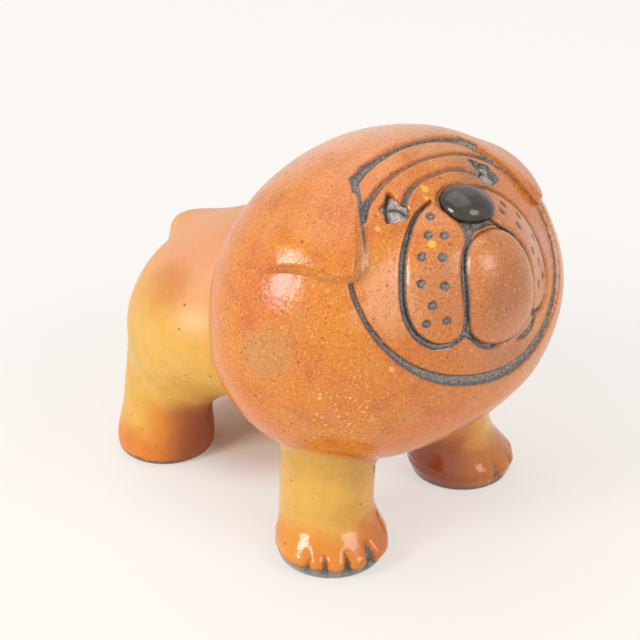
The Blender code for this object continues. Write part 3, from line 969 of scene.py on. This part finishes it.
class Wire:  # a socket, so that shader maths reads as sums
    def __init__(self, shader, socket):
        self.shader = shader
        self.socket = socket

    def sum(self, operation, *values):
        sockets = dict(enumerate(values))
        return self.shader.add("Math", {"operation": operation}, sockets)

    def __add__(self, other):
        return self.sum("ADD", self, other)

    def __sub__(self, other):
        return self.sum("SUBTRACT", self, other)

    def __mul__(self, other):
        return self.sum("MULTIPLY", self, other)

    def __rsub__(self, other):
        return self.sum("SUBTRACT", other, self)

    __radd__ = __add__
    __rmul__ = __mul__

    def larger(self, other):
        return self.sum("MAXIMUM", self, other)

    def beside(self, out):  # another output of the same node
        return Wire(self.shader, self.socket.node.outputs[out])

    def between(self, low, high):  # 0 below low, 1 above high
        settings = {"interpolation_type": "SMOOTHSTEP"}
        return self.shader.add("MapRange", settings, {0: self, 1: low, 2: high, 3: 0.0, 4: 1.0})


class Shader:
    def __init__(self, holder):  # a material or the world
        holder.use_nodes = True
        self.holder = holder
        self.tree = holder.node_tree
        self.tree.nodes.clear()

    def add(self, kind, settings=None, sockets=None, out=0):  # settings first, then socket values and links
        node = self.tree.nodes.new("ShaderNode" + kind)
        for key, value in (settings or {}).items():
            setattr(node, key, value)
        for key, value in (sockets or {}).items():
            if isinstance(value, Wire):
                self.tree.links.new(value.socket, node.inputs[key])
            else:
                node.inputs[key].default_value = value
        return Wire(self, node.outputs[out]) if node.outputs else None

    def noise(self, size, detail=2.0, rough=0.5):  # size in mm
        sockets = {"Vector": self.place, "Scale": 1 / size, "Detail": detail, "Roughness": rough}
        return self.add("TexNoise", sockets=sockets)

    def specks(self, apart, size, share, soft=0.4):  # sizes in mm, and the share of cells with one
        warp = self.add("TexNoise", sockets={"Vector": self.place, "Scale": 2 / size, "Detail": 1.0}, out=1)
        place = self.add("Mix", {"data_type": "VECTOR"}, {0: 0.12 * size, 4: self.place, 5: warp}, out=1)
        cell = self.add("TexVoronoi", {"feature": "F1"}, {"Vector": place, "Scale": 1 / apart})
        pick = self.add("SeparateColor", sockets={0: cell.beside("Color")}, out=0)
        grow = self.add("SeparateColor", sockets={0: cell.beside("Color")}, out=1)
        radius = (0.4 + grow * 0.9) * (size / apart / 2)
        fleck = (cell - radius).between(soft * size / apart, 0.0)
        return fleck * pick.between(share + 0.002, share)

    def distance(self, centre):  # from a place, in mm
        sockets = {0: self.place, 1: tuple(centre)}
        return self.add("VectorMath", {"operation": "DISTANCE"}, sockets, out="Value")

    def spot(self, centre, size):  # one splash of glaze
        ragged = (self.noise(0.9, 2) - 0.5) * size
        return (self.distance(centre) + ragged).between(size * 0.6, size * 0.4)

    def patch(self, centre, size, ragged):  # a soft patch of another shade
        return (self.distance(centre) + (ragged - 0.5) * size).between(size, size * 0.25)

    def mix(self, share, under, over):
        return self.add("Mix", {"data_type": "RGBA"}, {0: share, 6: under, 7: over}, out=2)

    def over(self, share, shade):  # lays a shade over the colour so far
        self.colour = self.mix(share, self.colour, shade)

    def oxide(self):
        return self.add("Attribute", {"attribute_name": "oxide"}, out="Fac")

    def finish(self, roughness, height, relief):
        bump = self.add("Bump", sockets={"Strength": 1.0, "Distance": relief * mm, "Height": height})
        sockets = {"Base Color": self.colour, "Roughness": roughness, "Normal": bump, "IOR": 1.6}
        shade = self.add("BsdfPrincipled", sockets=sockets)
        self.add("OutputMaterial", sockets={"Surface": shade})
        return self.holder


def newMaterial(name):  # a shader that knows its place in mm
    s = Shader(bpy.data.materials.new(name))
    place = s.add("TexCoord", out="Object")
    s.place = s.add("VectorMath", {"operation": "SCALE"}, {0: place, "Scale": 1 / mm})
    s.x, s.y, s.z = (s.add("SeparateXYZ", sockets={0: s.place}, out=axis) for axis in "XYZ")
    return s


def tint(red, green, blue):  # a colour as a screen shows it
    parts = [value / 255 for value in (red, green, blue)]
    return tuple(part / 12.92 if part < 0.04 else ((part + 0.055) / 1.055)**2.4 for part in parts) + (1.0,)


# glaze: orange over the balls, ochre on the legs, red-brown at the paws, and dark oxide in the tool lines,
# with a few patches of painted sheen and painted shade

glaze = {
    "orange": tint(221, 123, 34),
    "golden": tint(226, 134, 18),
    "tan": tint(206, 146, 74),
    "red": tint(204, 100, 30),
    "peach": tint(242, 168, 100),
    "ochre": tint(235, 183, 74),
    "olive": tint(204, 154, 58),
    "paw": tint(228, 130, 22),
    "pawGold": tint(238, 164, 44),
    "pawBrown": tint(172, 89, 34),
    "oxide": tint(74, 69, 66),
    "oxidePale": tint(158, 151, 145),
    "soleOxide": tint(104, 99, 96),
    # umber: the face's own browner glaze, laid low on the face partly as painted shade
    "umber": tint(170, 104, 62),
    # a duller brown on the face: partly its own browner glaze, partly painted shade low on the face and
    # painted sheen on the right jowl
    "brownShadeAndSheen": tint(198, 124, 74),
    "brown": tint(132, 84, 54),
    "dark": tint(172, 88, 34),
    "speckBrown": tint(150, 78, 34),
    "speck": tint(104, 58, 34),
    "pale": tint(248, 188, 124),
    # painted sheen, greyer, on the dog's left cheek and jowl
    "paintedGreySheen": tint(208, 152, 120),
    "crystal": tint(250, 200, 104),
    "yellow": tint(246, 182, 62),
    "splashes": [((-3.9, 13.0), 1.4), ((-4.9, 11.3), 0.9), ((-9.6, 3.3), 1.4), ((-15.8, 9.8), 0.9),
                 ((-20.9, -13.0), 0.9)],
    # painted sheen: a paler, duller orange on the top of the head, on the face and on the top of the rump
    "paintedSheen": tint(244, 176, 130),
    "patchShare": 0.75,
    "faceShare": 0.6,
    # patches are placed from the head's centre, face shades on the face; the palest are painted sheen, and
    # the duller browns low on the face are partly painted shade
    "patches": [("tan", (-35.0, -6.0, 2.4), 8.0), ("golden", (-27.4, -16.4, 7.7), 9.0),
                ("golden", (-32.2, -11.7, -4.1), 7.0), ("red", (-31.5, -4.4, 14.0), 6.0),
                ("paintedGreySheen", (31.0, -16.0, 3.0), 15.0), ("paintedSheen", (0.0, 12.0, 29.0), 24.0)],
    "faceShades": [("paintedSheen", (-19.0, -2.0), 9.0), ("brownShadeAndSheen", (0, -5.0), 22.0), ("umber", (0, -8.0), 9.0),
                   ("umber", (9.0, 12.0), 7.0), ("brownShadeAndSheen", (-11.0, -4.0), 8.0), ("paintedGreySheen", (14.0, -3.0), 7.0),
                   ("umber", (4.0, -18.5), 9.0), ("paintedGreySheen", (18.0, -4.0), 7.0)],
    "crystals": ((-27.0, -16.0, -9.0), 13.0),
}
headFinish = {"speckled": 0.75, "ragged": 0.3, "mark": "oxide", "rough": 0.17, "grain": 0.14, "relief": 0.1}
legFinish = {"speckled": 0.14, "ragged": 0.8, "mark": "soleOxide", "rough": 0.08, "grain": 0.08,
             "relief": 0.06, "behind": (-8.0, -2.0), "behindRough": 0.3}
legTone = {
    "front": (6.0, 4.0),  # where the front legs begin, by y
    "left": (-2.0, 2.0),  # and the left one, by x
    "rearFoot": (18.0, 29.5),  # middle of a rear leg
    "frontStep": 49.5,  # from there to the front legs
    "innerWay": (0.74, 0.67),  # towards the inner front of a leg
    "wander": {"drift": 8.0, "cloud": 6.0, "inner": 6.0},  # mm that the edges of shades wander
    "peach": 0.5,
    "topSheen": {"up": (34.0, 48.0), "share": 0.6},
    "neckSheen": {"back": (20.0, 11.0), "up": (22.0, 32.0), "share": 0.8},
    "burnt": {"place": (-24.4, 21.0, 39.6), "size": 9.5, "share": 0.65},
    "ochre": {"off": (-0.1, 0.8), "up": (44.0, 31.0)},  # in front by the gap to the head, behind by height
    "oliveShadeAndBlotches": {"off": (7.0, 1.0), "share": 0.8, "blotches": 0.25},
    "rim": {"start": (-0.6, -0.1), "end": (1.0, 0.2), "inner": (-6.0, 4.0), "share": 0.6},
    "low": {"up": (9.0, 4.0), "front": 2.4, "left": 1.5},
    "flank": {"inner": (-2.0, 4.0), "up": (18.0, 11.0), "rear": 4.0, "lessRight": 0.65},
    "brown": {"inner": (-1.0, 6.0), "left": 0.5, "lessRight": 0.75},
    "gold": {"inner": (-1.0, -7.0), "cloud": (0.4, 0.6), "share": 0.5},
}
noseTone = {"black": tint(34, 27, 23), "brown": tint(64, 50, 40), "speck": tint(104, 92, 84)}
eyeTone = {"grey": tint(146, 138, 130), "pale": tint(212, 205, 196), "crease": tint(58, 53, 48)}


def onFace(spot):  # a place on the shaped face
    place = onHead([spot])
    return lifted(place, faceRelief(place))[0]


def headGapAt(s):  # distance to the ball of the head, as a shader value
    off = s.add("VectorMath", {"operation": "SUBTRACT"}, {0: s.place, 1: tuple(headCentre)})
    off = s.add("VectorMath", {"operation": "DIVIDE"}, {0: off, 1: tuple(headHalf)})
    return (s.add("VectorMath", {"operation": "LENGTH"}, {0: off}, out="Value") - 1) * headHalf[1]


def legColours(s, drift, cloud):
    front = s.y.between(*legTone["front"])
    left = s.x.between(*legTone["left"]) * front
    rear = 1 - front
    rightFront = front * (1 - left)
    footX, footY = legTone["rearFoot"]
    wayX, wayY = legTone["innerWay"]
    ahead = (s.y - footY + front * legTone["frontStep"]) * (1 - left)
    wander = legTone["wander"]
    inner = (footX - s.x.sum("ABSOLUTE", s.x)) * wayX - ahead * wayY + (drift - 0.5) * wander["inner"]
    ragged = s.z + (drift - 0.5) * wander["drift"] + (cloud - 0.5) * wander["cloud"]
    off = headGapAt(s)
    top, neck, burnt = legTone["topSheen"], legTone["neckSheen"], legTone["burnt"]
    s.over(rear * legTone["peach"], glaze["peach"])
    # painted sheen on the top of the rump and where it meets the head
    s.over(rear * s.z.between(*top["up"]) * top["share"], glaze["paintedSheen"])
    atNeck = s.y.between(*neck["back"]) * s.z.between(*neck["up"])
    s.over(rear * atNeck * neck["share"], glaze["paintedSheen"])
    s.over(s.patch(burnt["place"], burnt["size"], drift) * burnt["share"], glaze["red"])
    ochre, oliveShadeAndBlotches = legTone["ochre"], legTone["oliveShadeAndBlotches"]
    ochreShare = front * off.between(*ochre["off"]) + rear * ragged.between(*ochre["up"])
    # olive on the front legs just under the head is painted shade; the blotches below are the glaze's own
    # mottling
    olive = front * off.between(*oliveShadeAndBlotches["off"]) * oliveShadeAndBlotches["share"]
    olive = olive + s.noise(8, 2, 0.5).between(0.5, 0.75) * oliveShadeAndBlotches["blotches"]
    olive = olive + s.noise(2.4, 3, 0.6).between(0.46, 0.66) * oliveShadeAndBlotches["blotches"]
    s.over(ochreShare, s.mix(olive, glaze["ochre"], glaze["olive"]))
    rim, low, flank = legTone["rim"], legTone["low"], legTone["flank"]
    # red band at the top of the front legs under the head: glaze pooled there, deepened as painted shade
    atShadedRim = front * off.between(*rim["start"]) * off.between(*rim["end"]) * inner.between(*rim["inner"])
    s.over(atShadedRim * rim["share"], glaze["red"])
    below = (ragged - front * low["front"] - left * low["left"]).between(*low["up"])
    atFlank = (inner + rear * flank["rear"]).between(*flank["inner"]) * ragged.between(*flank["up"])
    paw = below.larger(atFlank * (1 - rightFront * flank["lessRight"]))
    brown, gold = legTone["brown"], legTone["gold"]
    brownShare = inner.between(*brown["inner"]) * (1 - rightFront * brown["lessRight"])
    brownShare = brownShare.larger(left * brown["left"])
    goldShare = cloud.between(*gold["cloud"]) * gold["share"]
    goldShare = goldShare + inner.between(*gold["inner"]) * rightFront * gold["share"]
    pawTint = s.mix(goldShare, glaze["paw"], glaze["pawGold"])
    s.over(paw, s.mix(brownShare, pawTint, glaze["pawBrown"]))


def headColours(s, drift):
    for shade, place, size in glaze["patches"]:
        s.over(s.patch(headCentre + place, size, drift) * glaze["patchShare"], glaze[shade])
    for shade, spot, size in glaze["faceShades"]:
        s.over(s.patch(onFace(spot), size, drift) * glaze["faceShare"], glaze[shade])


def headSplashes(s, drift):
    s.over(s.specks(1.5, 0.4, 0.3) * drift.between(0.5, 0.4) * 0.6, glaze["crystal"])
    place, size = glaze["crystals"]
    lower = s.patch(headCentre + place, size, drift)
    s.over(s.specks(0.85, 0.34, 0.6) * lower * 0.85, glaze["crystal"])
    for spot, size in glaze["splashes"]:
        s.over(s.spot(onFace(spot), size), glaze["yellow"])


def makeGlaze(name, legs):
    s = newMaterial(name)
    finish = legFinish if legs else headFinish
    cloud = s.noise(17, 3, 0.55)
    drift = s.noise(6, 4, 0.62)
    fine = s.noise(0.42, 2, 0.65)
    grain = s.noise(1.1, 3, 0.65)
    s.colour = s.mix(cloud.between(0.42, 0.66), glaze["orange"], glaze["golden"])
    s.over(s.noise(11, 3, 0.6).between(0.54, 0.72) * 0.6, glaze["tan"])
    s.over(drift.between(0.5, 0.7) * 0.65, glaze["red"])
    if legs:
        legColours(s, drift, cloud)
    else:
        headColours(s, drift)
    strength = finish["speckled"]
    s.over(fine.between(0.5, 0.3) * grain.between(0.3, 0.6) * strength, glaze["dark"])
    s.over(fine.between(0.54, 0.72) * strength * 0.75, glaze["pale"])
    s.over(s.specks(0.9, 0.25, 0.5) * strength, glaze["speckBrown"])
    s.over(s.specks(2.6, 0.34, 0.5) * 0.75, glaze["speck"])
    if not legs:
        headSplashes(s, drift)
    grit = s.noise(0.3, 2, 0.7)
    marks = s.oxide() + (s.noise(1.1, 3, 0.6) - 0.5) * finish["ragged"]
    mask = marks.between(0.42, 0.56)
    # pale grit in the oxide: its own pale grain, with painted glints
    paleGritAndGlints = (marks * 0.3 + grit).between(0.68, 0.84) * 0.95
    dark = s.mix(paleGritAndGlints, glaze[finish["mark"]], glaze["oxidePale"])
    # brown where the oxide is thin: brown edges round the tool lines and bare clay, and painted shade on the
    # ear walls
    s.over(marks.between(0.1, 0.5) * 0.65, glaze["brown"])
    s.over(mask, dark)
    rough = finish["rough"]
    if legs:
        rough = rough + s.y.between(*finish["behind"]) * finish["behindRough"]
    rough = rough + grain * finish["grain"] + mask * 0.2
    height = s.noise(2.2, 2, 0.5) + grain * 0.5 + fine * 0.12 + grit * mask * 0.8
    return s.finish(rough, height, finish["relief"])


def makeNoseGlaze():
    s = newMaterial("noseGlaze")
    cloud = s.noise(3, 3, 0.6)
    s.colour = s.mix(cloud.between(0.4, 0.7), noseTone["black"], noseTone["brown"])
    s.over(s.specks(1.2, 0.3, 0.3) * 0.6, noseTone["speck"])
    height = s.noise(1.4, 3, 0.55)
    return s.finish(0.1 + cloud * 0.1, height, 0.06)


def makeEyeGlaze():
    s = newMaterial("eyeGlaze")
    grit = s.noise(0.4, 3, 0.7)
    s.colour = s.mix(grit.between(0.4, 0.65), eyeTone["grey"], eyeTone["pale"])
    # dark in the creases: dark slip, deepened as painted shade between the facets
    s.over(s.oxide().between(0.1, 0.9), eyeTone["crease"])
    return s.finish(0.3 + grit * 0.2, grit, 0.12)


headGlaze = makeGlaze("headGlaze", False)
legGlaze = makeGlaze("legGlaze", True)
finishes = {"nose": makeNoseGlaze(), "rightEye": makeEyeGlaze()}
finishes["leftEye"] = finishes["rightEye"]
for key, piece in pieces.items():
    legs = "Leg" in key or key in ("trunk", "tail")
    piece.data.materials.append(finishes.get(key, legGlaze if legs else headGlaze))
print("glazes made")


# floor and light: a white sweep, a softbox on the dog's right and a pale room

stage = {
    "floorSize": 3.0,
    "paper": (tint(252, 249, 246), tint(253, 250, 247)),
    "glowColour": tint(255, 252, 248),
    "floorGlow": (0.56, 0.82),  # beside the dog, and far off
    "glowFrom": (50.0, 180.0),
    "belly": (3.0, 20.0, 0.0),  # no glow in the shade below it
    "bellyShade": (12.0, 28.0),
    "roomLight": 0.42,
    "roomColour": (1.0, 0.985, 0.97, 1),
    "lampColour": (1.0, 0.97, 0.94),
    "lampAim": (0, 0, 0.04),
    "softboxes": {
        "sideSoftbox": {"way": (-0.84, 0.12, 0.48), "away": 0.62, "size": (0.25, 0.27), "power": 1.8,
                        "round": True},
        "frontSoftbox": {"way": (0.10, -0.80, 0.58), "away": 0.62, "size": (0.32, 0.32), "power": 1.0,
                         "round": True},
        "topSoftbox": {"way": (0.05, 0.25, 1.0), "away": 1.1, "size": (1.0, 1.0), "power": 3.2,
                       "round": False},
    },
}


def seenBy(s):  # 1 where the camera or a gloss looks
    path = s.add("LightPath", out="Is Camera Ray")
    return path.larger(path.beside("Is Glossy Ray"))


def makeFloor():
    half = stage["floorSize"] / 2
    mesh = bpy.data.meshes.new("floor")
    corners = [(-half, -half, 0), (half, -half, 0), (half, half, 0), (-half, half, 0)]
    mesh.from_pydata(corners, [], [(0, 1, 2, 3)])
    floor = bpy.data.objects.new("floor", mesh)
    scene.collection.objects.link(floor)
    s = newMaterial("floorPaper")
    fibre = s.noise(0.6, 3, 0.6)
    paper = s.add("BsdfDiffuse", sockets={"Color": s.mix(fibre, *stage["paper"])})
    glow = s.add("Emission", sockets={"Color": stage["glowColour"], "Strength": 1.0})
    off = s.distance((0, 0, 0)).between(*stage["glowFrom"])
    belly = s.distance(stage["belly"]).between(*stage["bellyShade"])
    near, far = stage["floorGlow"]
    share = seenBy(s) * belly * (near + off * (far - near))
    mixed = s.add("MixShader", sockets={0: share, 1: paper, 2: glow})
    s.add("OutputMaterial", sockets={0: mixed})
    mesh.materials.append(s.holder)


def makeSoftbox(name, box):
    way = unit(np.array(box["way"]))
    data = bpy.data.lights.new(name, "AREA")
    data.shape = "ELLIPSE" if box["round"] else "RECTANGLE"
    data.size, data.size_y = box["size"]
    data.energy = box["power"]
    data.color = stage["lampColour"]
    lamp = bpy.data.objects.new(name, data)
    lamp.location = way * box["away"] + np.array(stage["lampAim"])
    lamp.rotation_euler = (math.acos(way[2]), 0, math.atan2(way[0], -way[1]))
    scene.collection.objects.link(lamp)


def makeRoom():  # pale light from all round, and white where the camera or a gloss looks past the floor
    scene.world = bpy.data.worlds.new("room")
    s = Shader(scene.world)
    strength = s.add("Mix", sockets={0: seenBy(s), 2: stage["roomLight"], 3: 1.0})
    back = s.add("Background", sockets={"Color": stage["roomColour"], "Strength": strength})
    s.add("OutputWorld", sockets={"Surface": back})


makeFloor()
makeRoom()
for name, box in stage["softboxes"].items():
    makeSoftbox(name, box)
scene.view_settings.view_transform = "Standard"
print("stage lit")
